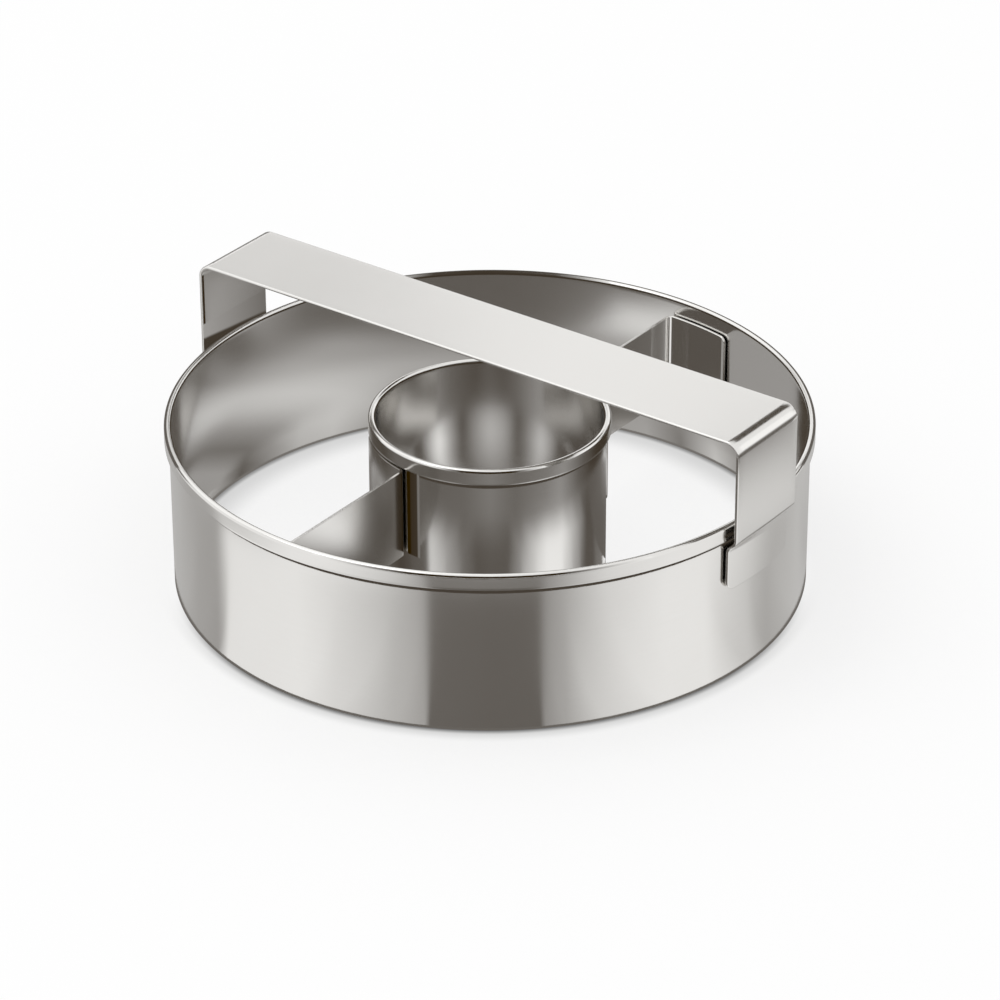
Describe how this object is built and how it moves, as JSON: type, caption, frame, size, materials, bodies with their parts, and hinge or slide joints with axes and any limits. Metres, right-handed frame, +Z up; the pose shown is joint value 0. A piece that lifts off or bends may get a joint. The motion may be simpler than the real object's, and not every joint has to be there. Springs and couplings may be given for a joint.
{
  "type": "donut cutter",
  "caption": "Sheet steel donut cutter: a round outer band and a small inner band with rolled rims, joined by flat struts, under a bent strap handle.",
  "frame": {"origin": "centre of both rings in the plane of the cutting edges, which the cutter rests on", "axes": "+Z up from the cutting edges to the handle, +X along the handle, the struts lie along Y with the front strut at -Y"},
  "size_m": [0.093, 0.0914, 0.0371],
  "materials": {
    "ring_steel": "satin rolled stainless sheet, grain round the ring",
    "strut_steel": "satin rolled stainless sheet, grain along the strip",
    "handle_steel": "satin rolled stainless sheet, grain along the strap"
  },
  "bodies": {
    "root": {"outer_ring": "ring_steel", "inner_ring": "ring_steel", "front_strut": "strut_steel", "rear_strut": "strut_steel", "handle": "handle_steel"}
  },
  "joints": []
}
